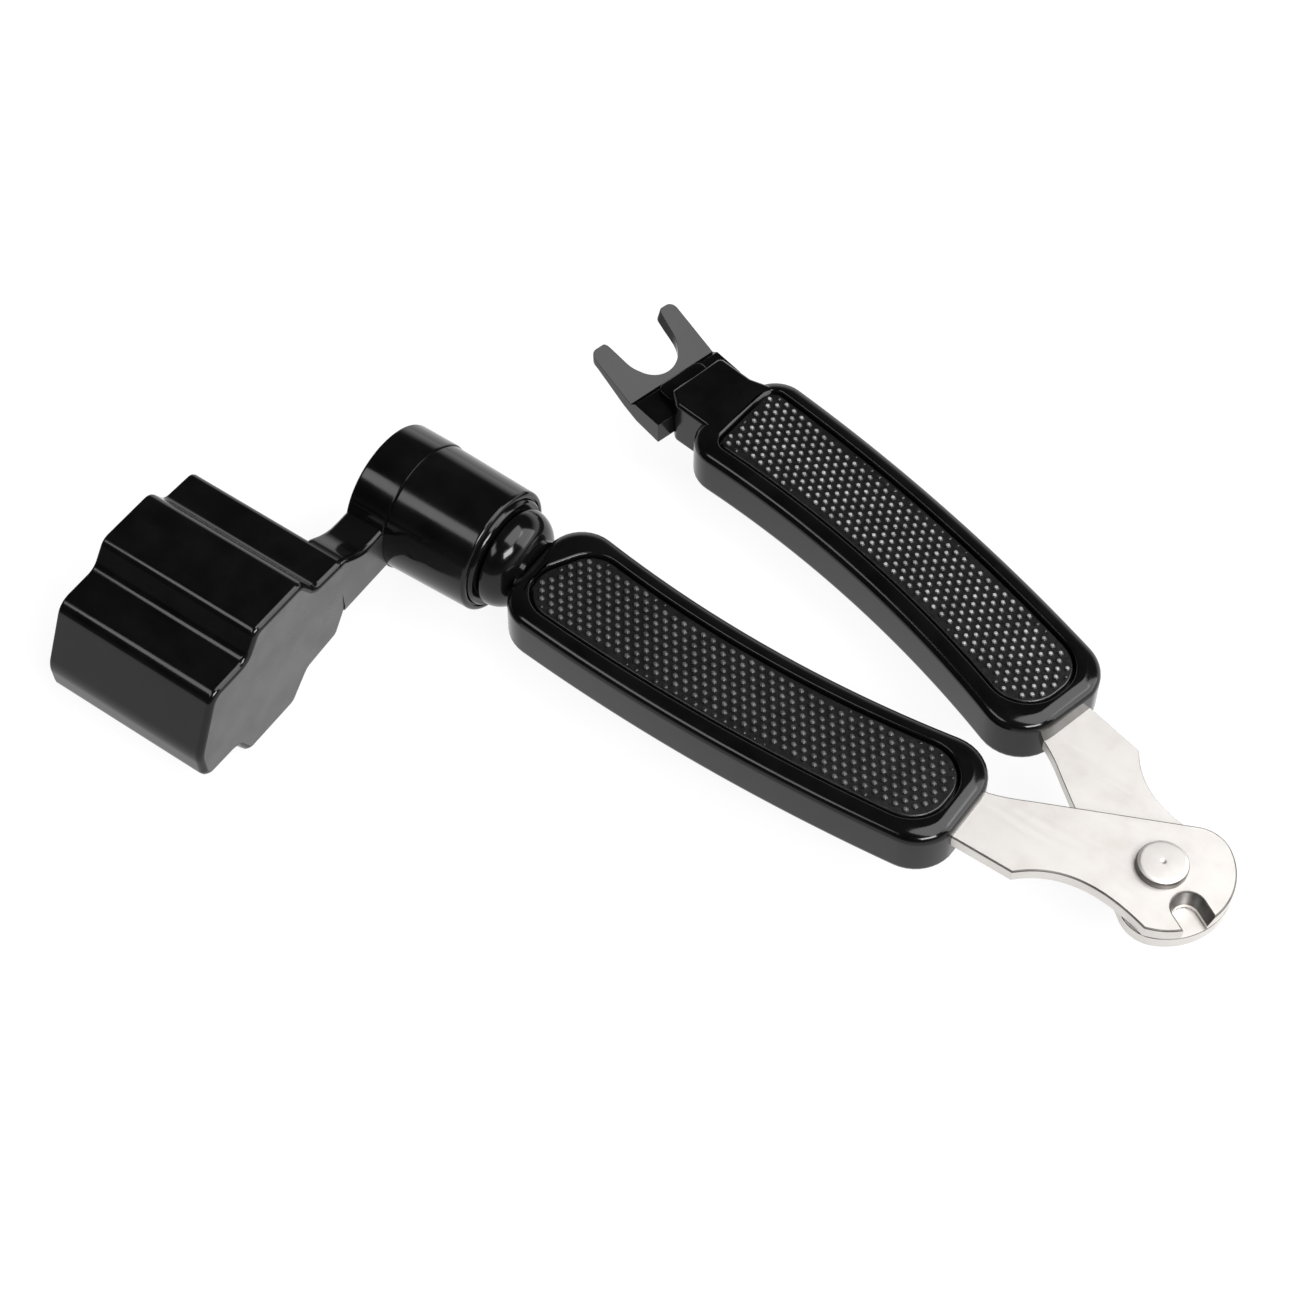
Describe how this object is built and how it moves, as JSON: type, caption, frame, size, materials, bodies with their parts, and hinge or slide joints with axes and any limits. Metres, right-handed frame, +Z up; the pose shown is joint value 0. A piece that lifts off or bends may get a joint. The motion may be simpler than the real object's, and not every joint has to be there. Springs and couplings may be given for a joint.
{
  "type": "string winder",
  "caption": "Hand tool with two curved handles on one rivet: a free-turning crank with a tuner socket, a forked bridge-pin puller and a plate string cutter.",
  "frame": {"origin": "middle of the whole tool in plan, at its lowest point, with the handles and crank in the stored pose", "axes": "+X along the crank's axis, from the tuner socket towards the cutter disc; +Z up along the rivet; the puller handle opens towards +Y and the crank lies towards -Y"},
  "size_m": [0.1506, 0.099, 0.0226],
  "materials": {
    "black_abs": "glossy",
    "grip_rubber": "satin, studded",
    "nickel_plate": "bright nickel, lightly brushed",
    "plain_steel": "turned"
  },
  "bodies": {
    "winder_side": {"winder_handle": "black_abs", "winder_grip_top": "grip_rubber", "winder_grip_bottom": "grip_rubber", "winder_tang_pin_front": "plain_steel", "winder_tang_pin_rear": "plain_steel", "upper_cutter_plate": "nickel_plate", "pivot_rivet": "nickel_plate", "swivel_collar": "black_abs", "crank_spindle": "plain_steel", "spindle_washer": "plain_steel", "spindle_screw": "plain_steel"},
    "puller_side": {"puller_handle": "black_abs", "puller_grip_top": "grip_rubber", "puller_grip_bottom": "grip_rubber", "puller_tang_pin_front": "plain_steel", "puller_tang_pin_rear": "plain_steel", "lower_cutter_plate": "nickel_plate", "pin_fork": "black_abs"},
    "crank": {"crank_barrel": "black_abs", "crank_socket": "black_abs", "hub_cap": "black_abs"}
  },
  "joints": [
    {"name": "handle_pivot", "type": "hinge", "parent": "winder_side", "child": "puller_side", "pos_m": [0.0657, 0.00706, 0.01285], "axis": [0, 0, -1], "range_deg": [-8, 48]},
    {"name": "crank_spin", "type": "hinge", "parent": "winder_side", "child": "crank", "pos_m": [-0.0403, -0.00014, 0.01285], "axis": [-1, 0, 0], "continuous": true}
  ]
}
